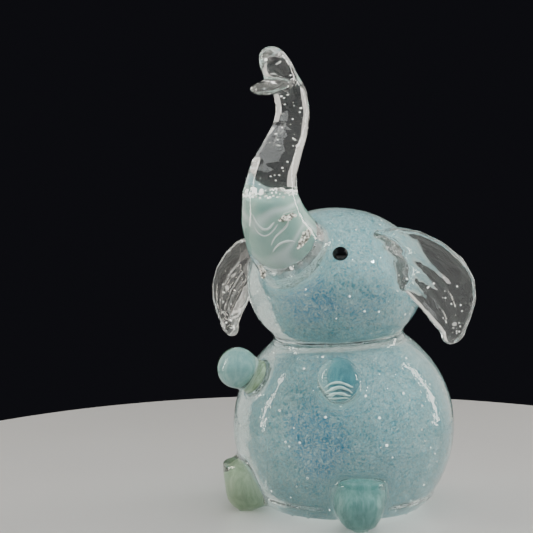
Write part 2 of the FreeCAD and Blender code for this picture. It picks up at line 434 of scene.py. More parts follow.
# Ears. A hot bit is stuck to the side of the head, squeezed flat with ribbed jacks, drawn outward and
# down, and let run into a drop. The ribs stay as flutes between two thick rims.
EAR_ROOT = Vector((23.0, -9.0, 0)) * MM
EAR_SWEEP = math.radians(18)
EAR_HINGE_RISE = 10
# side, its mirror, size outward and up, droop
EAR_SETS = [("left", 1, (1.0, 1.0), 0), ("right", -1, (1.05, 0.92), math.radians(5))]
# outward from the root, above the head's middle, heading, half width, half thickness
EAR_LINE = [
    (-1.5, 12.4, 0, 5.0, 4.0),
    (4.5, 10.3, -11, 7.9, 3.4),
    (10.2, 6.8, -16, 10.2, 3.0),
    (15.5, 2.9, -24, 11.0, 2.8),
    (19.8, -1.2, -35, 10.9, 2.7),
    (22.4, -5.4, -46, 9.9, 2.7),
    (23.3, -9.2, -56, 8.1, 2.8),
    (23.1, -12.6, -66, 5.9, 3.0),
    (22.6, -15.0, -76, 4.3, 3.2),
    (22.2, -17.0, -82, 3.7, 3.1),
    (22.0, -18.6, -82, 2.4, 2.2),
    (21.9, -19.3, -82, 1.0, 1.0),
]
EAR_SIDES = 48
FLUTES = 4
FLUTE_DEPTH = 0.62
FLUTE_TOP = 0.2
DISH_WIDTH = 0.80
DISH_THINNED = 0.15


def pull_ear(name):
    """The leaf of a left ear, upright, its root at the origin and its outer edge towards +X."""
    outward, rise, heading, width, thickness = EAR_LINE[0]
    bpy.ops.object.select_all(action="DESELECT")
    bpy.ops.mesh.primitive_circle_add(vertices=EAR_SIDES, radius=1, fill_type="NGON",
                                      rotation=(0, math.radians(90), 0))
    leaf = bpy.context.object
    leaf.name = name
    fix_place(leaf)
    start_edit(leaf)
    pick(leaf, "VERT", lambda v: v.y < 0 and abs(v.z) < DISH_WIDTH)
    bpy.ops.transform.resize(value=(1, DISH_THINNED, 1), center_override=(0, 0, 0))
    pick(leaf, "VERT", lambda v: v.y < 0 and -DISH_WIDTH < v.z < FLUTE_TOP
         and math.sin(v.z / DISH_WIDTH * FLUTES * math.pi) > 0)
    bpy.ops.transform.translate(value=(0, -FLUTE_DEPTH, 0))
    bpy.ops.mesh.select_all(action="SELECT")
    bpy.ops.transform.resize(value=(1, thickness * MM, width * MM), center_override=(0, 0, 0))
    bpy.ops.transform.translate(value=(outward * MM, 0, rise * MM))
    for before, after in zip(EAR_LINE, EAR_LINE[1:]):
        middle = (after[0] * MM, 0, after[1] * MM)
        move = ((after[0] - before[0]) * MM, 0, (after[1] - before[1]) * MM)
        bpy.ops.mesh.extrude_region_move(TRANSFORM_OT_translate={"value": move})
        bpy.ops.transform.rotate(value=math.radians(-before[2]), orient_axis="Y", center_override=middle)
        bpy.ops.transform.resize(value=(1, after[4] / before[4], after[3] / before[3]),
                                 center_override=middle)
        bpy.ops.transform.rotate(value=math.radians(after[2]), orient_axis="Y", center_override=middle)
    end_edit()
    return leaf


def set_ear(name, side, size, droop):
    """Pulls an ear, sizes and droops it about its root, sweeps it back and sets it into the head."""
    leaf = pull_ear(name)
    start_edit(leaf)
    bpy.ops.mesh.select_all(action="SELECT")
    bpy.ops.transform.resize(value=(size[0], 1, size[1]), center_override=(0, 0, 0))
    bpy.ops.transform.rotate(value=-droop, orient_axis="Y", center_override=(0, 0, EAR_HINGE_RISE * MM))
    bpy.ops.transform.rotate(value=-EAR_SWEEP, orient_axis="Z", center_override=(0, 0, 0))
    bpy.ops.transform.translate(value=EAR_ROOT)
    bpy.ops.transform.resize(value=(side, 1, 1), center_override=(0, 0, 0))
    bpy.ops.transform.rotate(value=HEAD_ROLL, orient_axis="Y", center_override=(0, 0, 0))
    bpy.ops.transform.translate(value=head)
    bpy.ops.mesh.select_all(action="SELECT")
    bpy.ops.mesh.normals_make_consistent(inside=False)
    end_edit()
    return leaf


for side_name, side, size, droop in EAR_SETS:
    hot_bits.append(set_ear(side_name + "_ear_bit", side, size, droop))


# Paws and feet. Short stubs of sea-green glass, pressed on hot. The paws are raised, and the feet are
# upright cups in front, beside the ground flat. Each row: distance along the stub and its radius.
SIDES = (("left", 1), ("right", -1))
PAW_TURN = math.radians(29.5)
PAW_RISE = math.radians(29.5)
PAW_STUB = [(-9, 7.4), (-2, 6.6), (2.4, 5.8), (5, 6.3), (7.8, 6.8), (10.4, 6.4), (12.5, 5.0), (13.8, 3.0),
            (14.3, 1.2)]
FOOT_TURN = math.radians(40.7)
FOOT_SET_IN = 4.3 * MM
FOOT_HEIGHT = 8.6 * MM
FOOT_STUB = [(-8.3, 3.2), (-7.4, 5.4), (-5.0, 7.2), (-1.0, 8.1), (3.5, 8.6), (7.2, 8.8), (7.9, 8.2)]


def stub(name, line, place, direction):
    """A stub that points along a direction, with its zero mark at a place."""
    bit = draw_bit(name, [(0, along, radius) for along, radius in line])
    bit.rotation_mode = "QUATERNION"
    bit.rotation_quaternion = direction.to_track_quat("Z", "Y")
    bit.location = place
    fix_place(bit)
    return bit


paw_ways = {}
foot_ways = {}
foot_ends = {}
for side_name, side in SIDES:
    paw_way = Vector((side * math.sin(PAW_TURN) * math.cos(PAW_RISE),
                      -math.cos(PAW_TURN) * math.cos(PAW_RISE), math.sin(PAW_RISE)))
    paw_ways[side_name] = paw_way
    hot_bits.append(stub(side_name + "_paw_bit", PAW_STUB, belly + paw_way * belly_radius, paw_way))
    foot_way = Vector((side * math.sin(FOOT_TURN), -math.cos(FOOT_TURN), 0))
    foot_end = foot_way * (belly_radius - FOOT_SET_IN) + up * FOOT_HEIGHT
    foot_ends[side_name] = foot_end
    foot_ways[side_name] = (foot_end - belly).normalized()
    hot_bits.append(stub(side_name + "_foot_bit", FOOT_STUB, foot_end, up))


# Tail. A short bit of clear crystal, stuck low on the back of the belly while hot, trailed down towards
# the table and cut off in a bead.
TAIL_LINE = [(-33, 18, 4.2), (-36.5, 17.2, 3.6), (-38.8, 14.5, 2.9), (-39.6, 10.5, 2.4), (-39.6, 8.0, 2.6),
             (-39.6, 6.0, 2.3), (-39.6, 4.8, 1.2)]
tail_bit = draw_bit("tail_bit", TAIL_LINE)
hot_bits.append(tail_bit)


# Fused skin. In the furnace's heat all these bits run together into one surface, so they are joined
# here and smoothed as one. The skin is then cut back into its bits along flat fused seams.
SKIN_VOXEL = 0.75 * MM
SKIN_PASSES = 4
PAW_JOINT_REACH = 9.0 * MM
PAW_JOINT_PASSES = 15
FOOT_JOINT_OUT = -4
FOOT_JOINT_REACH = 12 * MM
FOOT_JOINT_PASSES = 25
EAR_JOINT = (27, -9, 8)
EAR_JOINT_REACH = 9 * MM
EAR_JOINT_PASSES = 20
TRUNK_JOINT = (0, -27, 12)
TRUNK_JOINT_REACH = 17 * MM
TRUNK_JOINT_PASSES = 50
NECK_JOINT_HALF_HEIGHT = 4.5 * MM
NECK_JOINT_REACH = 28 * MM
NECK_JOINT_PASSES = 25
HAND_RIPPLE_SIZE = 0.016
HAND_RIPPLE_HEIGHT = 0.5 * MM
GROUND_OFF_BELOW = 0.6 * MM


def apply_modifier(piece, kind, **settings):
    bpy.ops.object.select_all(action="DESELECT")
    piece.select_set(True)
    bpy.context.view_layer.objects.active = piece
    modifier = piece.modifiers.new(kind.lower(), kind)
    for key, value in settings.items():
        setattr(modifier, key, value)
    bpy.ops.object.modifier_apply(modifier=modifier.name)


bpy.ops.object.select_all(action="DESELECT")
for bit in hot_bits:
    bit.select_set(True)
bpy.context.view_layer.objects.active = ball
bpy.ops.object.join()
skin = ball
skin.name = "body_casing_glass"
apply_modifier(skin, "REMESH", mode="VOXEL", voxel_size=SKIN_VOXEL)
apply_modifier(skin, "SMOOTH", factor=0.5, iterations=SKIN_PASSES)


def on_side(side, place):
    """A place or direction given for the left side, on either side."""
    return Vector((side * place[0], place[1], place[2]))


def melt(middle, reach, repeat):
    """Smooths the skin within reach of a joint, as the flame rounds it."""
    pick(skin, "VERT", lambda v: (v - middle).length < reach)
    bpy.ops.mesh.vertices_smooth(factor=0.5, repeat=repeat)


start_edit(skin)
for side_name, side in SIDES:
    melt(belly + paw_ways[side_name] * belly_radius, PAW_JOINT_REACH, PAW_JOINT_PASSES)
    melt(foot_ends[side_name] + foot_ways[side_name] * FOOT_JOINT_OUT * MM, FOOT_JOINT_REACH,
         FOOT_JOINT_PASSES)
    melt(head + on_side(side, EAR_JOINT) * MM, EAR_JOINT_REACH, EAR_JOINT_PASSES)
melt(head + Vector(TRUNK_JOINT) * MM, TRUNK_JOINT_REACH, TRUNK_JOINT_PASSES)
pick(skin, "VERT", lambda v: abs((v - neck).dot(neck_axis)) < NECK_JOINT_HALF_HEIGHT
     and (v - neck).length < NECK_JOINT_REACH)
bpy.ops.mesh.vertices_smooth(factor=0.5, repeat=NECK_JOINT_PASSES)
end_edit()
ripple = bpy.data.textures.new("hand_ripple", "CLOUDS")
ripple.noise_scale = HAND_RIPPLE_SIZE
apply_modifier(skin, "DISPLACE", texture=ripple, strength=HAND_RIPPLE_HEIGHT, mid_level=0.5,
               texture_coords="LOCAL")
start_edit(skin)
pick(skin, "VERT", lambda v: v.z < GROUND_OFF_BELOW)
bpy.ops.transform.resize(value=(1, 1, 0), center_override=(0, 0, 0))
end_edit()


CRYSTAL_IOR = 1.5
RIPPLE_HEIGHT = 0.001
SHADOW_TINT = (0.90, 0.94, 0.93, 1)
PALE_AQUA = (0.87, 0.97, 0.965)
NEAR_WHITE = (0.97, 0.98, 0.96)


def crystal(name, tint, clarity, ripples, fineness=90.0, stretch=(1, 1, 1)):
    """Fire-polished glass. Shadow rays pass straight through, so that lamps reach what is inside."""
    glass = Finish(name)
    base = glass.node("ShaderNodeBsdfPrincipled", Base_Color=(*tint, 1), Roughness=0.0, IOR=CRYSTAL_IOR,
                      Transmission_Weight=clarity)
    wave = glass.noise(fineness, detail=1.0, distortion=1.0, stretch=stretch)
    bump = glass.node("ShaderNodeBump", Height=wave, Strength=ripples, Distance=RIPPLE_HEIGHT)
    glass.tree.links.new(bump.outputs[0], base.inputs["Normal"])
    clear = glass.node("ShaderNodeBsdfTransparent", Color=SHADOW_TINT)
    path = glass.node("ShaderNodeLightPath")
    mixed = glass.node("ShaderNodeMixShader", Fac=path.outputs["Is Shadow Ray"])
    glass.tree.links.new(base.outputs[0], mixed.inputs[1])
    glass.tree.links.new(clear.outputs[0], mixed.inputs[2])
    return glass.done(mixed)


seam = Finish("fused_seam")
fused_seam = seam.done(seam.node("ShaderNodeBsdfTransparent"))
casing_glass = crystal("clear_casing", PALE_AQUA, clarity=0.975, ripples=0.10, fineness=420.0)
clear_glass = crystal("clear_crystal", NEAR_WHITE, clarity=0.96, ripples=0.25)
pressed_glass = crystal("pressed_crystal", NEAR_WHITE, clarity=0.93, ripples=0.7, fineness=120.0,
                        stretch=(0.4, 1, 0.8))


def close_cut(piece):
    """Closes the open cut of a bit with one flat face in the seam finish."""
    start_edit(piece)
    bpy.ops.mesh.select_mode(type="EDGE")
    bpy.ops.mesh.select_all(action="DESELECT")
    bpy.ops.mesh.select_non_manifold(extend=False, use_wire=False, use_boundary=True,
                                     use_multi_face=False, use_non_contiguous=False, use_verts=False)
    bpy.ops.mesh.mark_sharp()
    bpy.ops.mesh.edge_face_add()
    piece.active_material_index = 1
    bpy.ops.object.material_slot_assign()
    end_edit()


def take_off(source, name, point, outward, middle, reach):
    """Cuts a bit off along a plane: what lies beyond it, within reach of the bit's middle."""
    start_edit(source)
    pick(source, "FACE", lambda c: (c - middle).length < reach)
    bpy.ops.mesh.bisect(plane_co=point, plane_no=outward, use_fill=False)
    pick(source, "FACE", lambda c: (c - middle).length < reach and (c - point).dot(outward) > 0)
    bpy.ops.mesh.separate(type="SELECTED")
    end_edit()
    bit = next(piece for piece in bpy.context.selected_objects if piece != source)
    bit.name = name
    close_cut(source)
    close_cut(bit)
    return bit


skin.data.materials.clear()
skin.data.materials.append(casing_glass)
skin.data.materials.append(fused_seam)
bpy.ops.object.select_all(action="DESELECT")
skin.select_set(True)
bpy.context.view_layer.objects.active = skin
bpy.ops.object.shade_smooth()

SEAM_CLEAR = 1.2 * MM
PAW_SEAM_SUNK = 0.1 * MM
PAW_MIDDLE_OUT = 7 * MM
PAW_CUT_REACH = 12.5 * MM
FOOT_SEAM_SUNK = 0.7 * MM
FOOT_MIDDLE_OUT = 3
FOOT_CUT_REACH = 13 * MM
EAR_SEAM_WAY = (0.906, -0.302, 0.295)
EAR_SEAM = (27.2, -9.3, 6.0)
EAR_MIDDLE = (45, -3, 0)
EAR_CUT_REACH = 30 * MM
TAIL_SEAM_WAY = (0, 0.96, -0.28)
TAIL_SEAM_OUT = 0.7 * MM
TAIL_MIDDLE = (0, 40, 10)
TAIL_CUT_REACH = 13 * MM
TRUNK_SEAM_WAY = (0, -0.685, 0.728)
TRUNK_SEAM_OUT = 29.0
TRUNK_MIDDLE = (0, -33, 46)
TRUNK_CUT_REACH = 46 * MM
LIP_SEAM_WAY = (0, -0.8, -0.6)
LIP_SEAM = (0, -41.5, 140.3)
LIP_MIDDLE = (0, -43.5, 138)
LIP_CUT_REACH = 8.5 * MM
WHOLE = 1.0
bits = {}
for side_name, side in SIDES:
    way = paw_ways[side_name]
    bits[side_name + "_paw"] = take_off(skin, side_name + "_paw_glass",
                                        belly + way * (belly_radius - PAW_SEAM_SUNK), way,
                                        belly + way * (belly_radius + PAW_MIDDLE_OUT), PAW_CUT_REACH)
    way = foot_ways[side_name]
    bits[side_name + "_foot"] = take_off(skin, side_name + "_foot_glass",
                                         belly + way * (belly_radius - FOOT_SEAM_SUNK), way,
                                         foot_ends[side_name] + way * FOOT_MIDDLE_OUT * MM, FOOT_CUT_REACH)
    bits[side_name + "_ear"] = take_off(skin, side_name + "_ear_glass",
                                        head + on_side(side, EAR_SEAM) * MM,
                                        on_side(side, EAR_SEAM_WAY).normalized(),
                                        head + on_side(side, EAR_MIDDLE) * MM, EAR_CUT_REACH)
tail_way = Vector(TAIL_SEAM_WAY).normalized()
bits["tail"] = take_off(skin, "tail_glass", belly + tail_way * (belly_radius + TAIL_SEAM_OUT), tail_way,
                        Vector(TAIL_MIDDLE) * MM, TAIL_CUT_REACH)
trunk_way = Vector(TRUNK_SEAM_WAY).normalized()
bits["trunk"] = take_off(skin, "trunk_glass", head + trunk_way * TRUNK_SEAM_OUT * MM, trunk_way,
                         head + Vector(TRUNK_MIDDLE) * MM, TRUNK_CUT_REACH)
bits["trunk_lip"] = take_off(bits["trunk"], "trunk_lip_glass", Vector(LIP_SEAM) * MM, Vector(LIP_SEAM_WAY),
                             Vector(LIP_MIDDLE) * MM, LIP_CUT_REACH)
bits["head_casing"] = take_off(skin, "head_casing_glass", neck + neck_axis * SEAM_CLEAR, neck_axis, head,
                               WHOLE)
bits["neck_seal"] = take_off(skin, "neck_seal_glass", neck - neck_axis * SEAM_CLEAR, neck_axis, neck,
                             WHOLE)
bits["body_casing"] = skin


# Finishes of the bits. Head, belly, ears, trunk and tail are clear crystal, and the limbs are drawn from
# sea-green rod, one of them a leaf green. Each bit stands in for its own CAD solid.
sea_green = crystal("sea_green_glass", (0.62, 0.88, 0.84), clarity=0.90, ripples=0.35)
leaf_green = crystal("leaf_green_glass", (0.74, 0.86, 0.64), clarity=0.90, ripples=0.45)
finish_of = {"left_paw": sea_green, "right_paw": sea_green, "left_foot": sea_green, "right_foot": leaf_green,
             "left_ear": pressed_glass, "right_ear": pressed_glass, "trunk": clear_glass,
             "trunk_lip": clear_glass, "tail": clear_glass}
for node, bit in bits.items():
    bit.data.materials[0] = finish_of.get(node, casing_glass)
    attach(bit, "root")
    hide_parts(node)


# Cores. Each is a gather of clear glass rolled in crushed pale blue frit, which traps a mass of fine
# bubbles. Deeper blue shows where the frit lies thick, and white threads where bubbles run together.
CORE_SHIFT = Vector((1.0, 1.0, -0.4)) * MM
BODY_CORE_RADIUS = 22.8 * MM
HEAD_CORE_SIZE = (17.6 * MM, 17.6 * MM, 13.9 * MM)
HEAD_CORE_SHIFT = Vector((1.6, 1.2, -0.8)) * MM
FRIT_TEAL = (0.085, 0.33, 0.41)
FRIT_AZURE = (0.015, 0.25, 0.43)
FRIT_CLOUD = (0.50, 0.76, 0.82)
FRIT_RELIEF = 0.0006
LUMP_SIZE = 0.012
LUMP_HEIGHT = 1.6 * MM


def thin_lines(value, sharpness):
    """Thin bright lines where a noise passes through its middle."""
    return (1 - abs(value - 0.5) * sharpness).clamped()


def frit(name, thick_place, thick_reach):
    """Blue frit, deepest round the place where it lay thickest on the gather."""
    glass = Finish(name)
    threads = glass.noise(620.0, detail=3.0, distortion=1.8)
    ridge = thin_lines(threads, 11.0)
    patches = glass.noise(48.0, detail=2.0, distortion=0.6)
    thick = glass.node("ShaderNodeTexGradient", {"gradient_type": "SPHERICAL"},
                       Vector=glass.place((1 / thick_reach,) * 3, thick_place / -thick_reach))
    deep = ((patches - 0.54) * 4.0 + Flow(glass.tree, thick.outputs["Fac"]) * 2.2).clamped()
    frit_blue = glass.blend(deep, FRIT_TEAL, FRIT_AZURE)
    cloudy = ridge * (0.75 - deep * 0.45)
    colour = glass.blend(cloudy.clamped(), frit_blue, FRIT_CLOUD)
    bump = glass.node("ShaderNodeBump", Height=threads, Strength=0.9, Distance=FRIT_RELIEF)
    shader = glass.node("ShaderNodeBsdfPrincipled", Base_Color=colour, Roughness=0.35,
                        Normal=bump.outputs[0])
    return glass.done(shader)


body_thick = belly + CORE_SHIFT + (to_viewer * 20.5 - to_right * 10.0 + up * 1.0) * MM
head_thick = head + HEAD_CORE_SHIFT + (to_viewer * 13.0 - to_right * 10.5 - up * 2.5) * MM
body_frit = frit("body_frit", body_thick, 14.0 * MM)
head_frit = frit("head_frit", head_thick, 10.0 * MM)


HAZE_DARK = (0.34, 0.46, 0.44)
HAZE_BRIGHT = (0.70, 0.88, 0.88)


def haze(name):
    """Seed bubbles too fine to see one by one, with squiggles where they run together."""
    veil = Finish(name)
    worms = veil.noise(520.0, detail=3.0, distortion=2.4)
    ridge = thin_lines(worms, 12.0)
    cloud = veil.noise(45.0)
    alpha = (cloud * 0.24 + ridge * 0.55).clamped()
    colour = veil.blend(ridge, HAZE_DARK, HAZE_BRIGHT)
    shader = veil.node("ShaderNodeBsdfPrincipled", Base_Color=colour, Roughness=0.6, Alpha=alpha)
    return veil.done(shader)


seed_haze = haze("seed_haze")


def make_core(name, node, place, size, finish):
    bpy.ops.object.select_all(action="DESELECT")
    bpy.ops.mesh.primitive_uv_sphere_add(segments=BALL_SEGMENTS, ring_count=BALL_RINGS, radius=1,
                                         location=place, scale=size)
    core = bpy.context.object
    core.name = name
    fix_place(core)
    lumps = bpy.data.textures.new(name + "_lumps", "CLOUDS")
    lumps.noise_scale = LUMP_SIZE
    apply_modifier(core, "DISPLACE", texture=lumps, strength=LUMP_HEIGHT, mid_level=0.5,
                   texture_coords="LOCAL")
    bpy.ops.object.shade_smooth()
    core.data.materials.append(finish)
    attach(core, "root")
    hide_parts(node)
    return core


make_core("body_core_frit", "body_core", belly + CORE_SHIFT, (BODY_CORE_RADIUS,) * 3, body_frit)
make_core("head_core_frit", "head_core", head + HEAD_CORE_SHIFT, HEAD_CORE_SIZE, head_frit)
BODY_VEIL_RADIUS = 25.2 * MM
HEAD_VEIL_SIZE = (20.2 * MM, 20.2 * MM, 16.6 * MM)
make_core("body_seed_haze", "body_casing", belly, (BODY_VEIL_RADIUS,) * 3, seed_haze)
make_core("head_seed_haze", "head_casing", head, HEAD_VEIL_SIZE, seed_haze)


# Opal tongue. Milky aqua glass that was on the rod before the trunk was drawn. It ends in a wavy edge
# part of the way up and is combed into swirls.
OPAL_LINE = [(26.4, 12.0, 3.0), (27.6, 13.2, 6.4), (29.8, 15.2, 8.0), (33.0, 18.6, 7.9), (36.2, 23.6, 6.9),
             (37.6, 27.0, 6.1), (37.9, 29.0, 5.6), (38.0, 29.6, 3.6)]
OPAL_DEEP = (0.20, 0.44, 0.42)
OPAL_PALE = (0.50, 0.68, 0.58)
OPAL_WHITE = (0.66, 0.80, 0.78)
RIBBON_THINNED = 9.0
opal = draw_bit("opal_tongue", OPAL_LINE)
opal.location = head
fix_place(opal)
apply_modifier(opal, "SUBSURF", levels=2, render_levels=2)
bpy.ops.object.shade_smooth()
milk = Finish("opal_glass")
swirl = milk.noise(60.0, detail=1.5, distortion=2.2)
bands = milk.node("ShaderNodeTexWave", {"wave_type": "BANDS", "bands_direction": "Z"}, Scale=46.0,
                  Distortion=10.0, Detail=0.5, Detail_Scale=1.4, Vector=milk.place((1, 1, 0.8)))
ribbon = Flow(milk.tree, bands.outputs["Fac"]) ** RIBBON_THINNED
opal_base = milk.blend(swirl, OPAL_DEEP, OPAL_PALE)
opal_shader = milk.node("ShaderNodeBsdfPrincipled", Roughness=0.2,
                        Base_Color=milk.blend(ribbon.clamped(), opal_base, OPAL_WHITE))
opal.data.materials.append(milk.done(opal_shader))
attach(opal, "root")
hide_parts("trunk_core")


# Milk in the limbs. Each paw and foot was picked up with a dab of opal inside its green glass. The left
# paw shows a teal leaf with white combed arcs, because that dab was pressed against the belly.
def dab(name, node, place, size, facing, dark, light):
    """A small opal drop inside a limb, turned to face a direction."""
    bpy.ops.object.select_all(action="DESELECT")
    bpy.ops.mesh.primitive_uv_sphere_add(segments=DROP_SEGMENTS, ring_count=DROP_RINGS, radius=1,
                                         location=place,
                                         rotation=facing.to_track_quat("Z", "Y").to_euler(),
                                         scale=[side * MM for side in size])
    drop = bpy.context.object
    drop.name = name
    fix_place(drop)
    bpy.ops.object.shade_smooth()
    opal_drop = Finish(name + "_opal")
    cloud = opal_drop.noise(260.0, detail=3.0, distortion=2.5, stretch=(1, 1, 0.3))
    streak = ((cloud - 0.40) * 4.0).clamped()
    shader = opal_drop.node("ShaderNodeBsdfPrincipled", Roughness=0.3,
                            Base_Color=opal_drop.blend(streak, dark, light))
    drop.data.materials.append(opal_drop.done(shader))
    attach(drop, "root")
    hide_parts(node)


left_way = paw_ways["left"]
right_way = paw_ways["right"]
PAW_MILK_OUT = 7.8 * MM
COLLAR_OUT = 0.9 * MM
LEAF_OUT = 4.6 * MM
LEAF_ASIDE = 0.9
FOOT_MILK_SUNK = 0.4
FOOT_MILK_SIZE = (6.4, 6.4, 7.0)
dab("right_paw_milk", "right_paw", belly + right_way * (belly_radius + PAW_MILK_OUT), (4.6, 4.6, 4.4),
    right_way, dark=(0.30, 0.48, 0.50), light=(0.46, 0.62, 0.62))
dab("right_paw_collar", "right_paw", belly + right_way * (belly_radius + COLLAR_OUT), (5.4, 5.4, 1.6),
    right_way, dark=(0.24, 0.28, 0.13), light=(0.62, 0.64, 0.46))
leaf_place = belly + left_way * (belly_radius + LEAF_OUT) + (to_right + up) * LEAF_ASIDE * MM
dab("left_paw_leaf", "left_paw", leaf_place, (3.0, 4.0, 1.0), left_way, dark=(0.03, 0.17, 0.24),
    light=(0.10, 0.30, 0.36))
dab("left_foot_milk", "left_foot", foot_ends["left"] - up * FOOT_MILK_SUNK * MM, FOOT_MILK_SIZE, up,
    dark=(0.07, 0.22, 0.22), light=(0.17, 0.35, 0.34))
dab("right_foot_milk", "right_foot", foot_ends["right"] - up * FOOT_MILK_SUNK * MM, FOOT_MILK_SIZE, up,
    dark=(0.26, 0.35, 0.28), light=(0.38, 0.47, 0.39))

COMB_GREY = (0.72, 0.84, 0.82)
COMB_WHITE = (0.92, 0.97, 0.95)
white = Finish("combed_white")
white_cloud = white.noise(300.0)
white_shader = white.node("ShaderNodeBsdfPrincipled", Roughness=0.25,
                          Base_Color=white.blend(white_cloud, COMB_GREY, COMB_WHITE))
combed_white = white.done(white_shader)
ARC_LINE = [(-2.9, -0.7, 0.1), (-1.6, 0.1, 0.26), (0, 0.4, 0.32), (1.6, 0.1, 0.26), (2.9, -0.7, 0.1)]
ARC_COUNT = 4
ARC_OUT = 6.0 * MM
FIRST_ARC_SUNK = 0.4
ARC_STEP = 1.1
THREAD_FACETS = 10
across = up.cross(left_way).normalized()
above = left_way.cross(across).normalized()


def combed_thread(name, node, line, place, outward, sideways, upward):
    """A white thread: its line runs sideways and upward in a plane that faces outward."""
    comb = draw_bit(name, line, sides=THREAD_FACETS)
    comb.matrix_world = Matrix.Translation(place) @ Matrix((outward, -sideways, upward)).transposed().to_4x4()
    fix_place(comb)
    apply_modifier(comb, "SUBSURF", levels=2, render_levels=2)
    bpy.ops.object.shade_smooth()
    comb.data.materials.append(combed_white)
    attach(comb, "root")
    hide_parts(node)


for row in range(ARC_COUNT):
    row_place = belly + left_way * (belly_radius + ARC_OUT) - above * (FIRST_ARC_SUNK + ARC_STEP * row) * MM
    combed_thread("left_paw_arc", "left_paw", ARC_LINE, row_place, left_way, across, above)

# sideways, up and radius along each swirl of the tongue
TONGUE_SWIRLS = [
    [(-8.0, 5.4, 0.10), (-7.0, 3.0, 0.26), (-5.6, 1.2, 0.36), (-4.0, 0.6, 0.42), (-2.6, 1.4, 0.36),
     (-1.4, 3.4, 0.30), (0.2, 5.2, 0.26), (2.6, 5.8, 0.20), (4.8, 6.6, 0.10)],
    [(-7.6, 1.8, 0.10), (-6.2, -0.6, 0.26), (-4.4, -1.4, 0.30), (-2.8, -0.6, 0.26), (-1.4, 1.4, 0.20),
     (0.0, 3.2, 0.10)],
    [(-2.6, -4.4, 0.10), (-1.6, -1.4, 0.30), (0.6, 0.4, 0.40), (2.0, 2.2, 0.42), (2.2, 3.6, 0.14)],
    [(-2.2, -6.6, 0.10), (-1.0, -4.2, 0.40), (1.0, -3.0, 0.50), (3.0, -2.8, 0.38), (4.6, -3.4, 0.12)],
]
SWIRL_MIDDLE = (0, -33.0, 18.8)
SWIRL_NEARER = 8.6
swirl_place = head + (Vector(SWIRL_MIDDLE) + to_viewer * SWIRL_NEARER) * MM
for line in TONGUE_SWIRLS:
    combed_thread("tongue_swirl", "trunk_core", line, swirl_place, to_viewer, to_right, up)


# Trapped air. Seeds that came with the gathers, and three torn pockets where the trunk was stuck on.
# Air inside glass turns the light back, so it is made a silvery mirror, and it also glows with painted
# glints.
silver = Finish("air_with_painted_glints")
BEAD_PAINTED_GLOW_DIM = (0.22, 0.22, 0.20)
BEAD_PAINTED_GLINT = (1.0, 0.99, 0.94)
bead_tone_and_glint_noise = silver.noise(500.0)
# painted glint: an emission colour, dim all over and bright in noise patches, stands in for lamp light caught
# by the air
painted_bead_glint = silver.blend(((bead_tone_and_glint_noise - 0.42) * 6.0).clamped(), BEAD_PAINTED_GLOW_DIM, BEAD_PAINTED_GLINT)
silver_shader = silver.node("ShaderNodeBsdfPrincipled", Metallic=0.8, Roughness=0.12, Emission_Strength=1.5,
                            Emission_Color=painted_bead_glint,
                            Base_Color=silver.blend(bead_tone_and_glint_noise, (0.80, 0.80, 0.76), (1.0, 1.0, 0.97)))
air_with_painted_glints = silver.done(silver_shader)
SEED = 7
chance = random.Random(SEED)


def seed_cloud(name, node, places):
    """Small round bubbles at places, joined to one piece. Each place comes with its radius."""
    beads = []
    for place, radius in places:
        bpy.ops.object.select_all(action="DESELECT")
        bpy.ops.mesh.primitive_ico_sphere_add(subdivisions=2, radius=radius, location=place)
        beads.append(bpy.context.object)
    for bead in beads:
        bead.select_set(True)
    bpy.ops.object.join()
    cloud = bpy.context.object
    cloud.name = name
    fix_place(cloud)
    bpy.ops.object.shade_smooth()
    cloud.data.materials.append(air_with_painted_glints)
    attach(cloud, "root")
    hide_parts(node)


def any_way():
    """A direction taken evenly from all round."""
    turn = chance.uniform(0, 2 * math.pi)
    rise = chance.uniform(-1, 1)
    flat = math.sqrt(1 - rise * rise)
    return Vector((flat * math.cos(turn), flat * math.sin(turn), rise))


BODY_SEEDS = 130
HEAD_SEEDS = 80
TRUNK_SEEDS_A_STEP = 6
EAR_SEEDS_A_STEP = 4
CROWN_SEEDS = 70
OFF_GROUND = 4 * MM
OFF_NECK = 3 * MM

body_seeds = []
while len(body_seeds) < BODY_SEEDS:
    way = any_way()
    place = belly + way * belly_radius * chance.uniform(0.80, 0.95)
    if place.z > OFF_GROUND and (place - neck).dot(neck_axis) < -OFF_NECK:
        body_seeds.append((place, chance.uniform(0.16, 0.42) * MM))
seed_cloud("body_seeds", "body_casing", body_seeds)

head_seeds = []
while len(head_seeds) < HEAD_SEEDS:
    way = any_way()
    reach = chance.uniform(0.82, 0.94)
    place = head + Vector((way.x * HEAD_RADIUS, way.y * HEAD_RADIUS, way.z * HEAD_HALF_HEIGHT)) * reach
    if (place - neck).dot(neck_axis) > OFF_NECK:
        head_seeds.append((place, chance.uniform(0.14, 0.36) * MM))
seed_cloud("head_seeds", "head_casing", head_seeds)

trunk_seeds = []
for first, second in zip(TRUNK_LINE[4:12], TRUNK_LINE[5:13]):
    for _ in range(TRUNK_SEEDS_A_STEP):
        along = chance.random()
        forward = first[0] + (second[0] - first[0]) * along
        rise = first[1] + (second[1] - first[1]) * along
        middle = head + Vector((0, -forward, rise)) * MM
        reach = chance.uniform(0.3, 0.8) * second[2] * MM
        trunk_seeds.append((middle + any_way() * reach, chance.uniform(0.12, 0.30) * MM))
seed_cloud("trunk_seeds", "trunk", trunk_seeds)


def ear_place(outward, rise, side, size, droop):
    """A place on the middle of an ear's leaf, carried along as the ear is set."""
    about = Vector((0, 0, EAR_HINGE_RISE)) * MM
    point = Vector((outward * size[0], 0, rise * size[1])) * MM
    point = Matrix.Rotation(droop, 3, "Y") @ (point - about) + about
    point = Matrix.Rotation(EAR_SWEEP, 3, "Z") @ point + EAR_ROOT
    point.x *= side
    return Matrix.Rotation(-HEAD_ROLL, 3, "Y") @ point + head


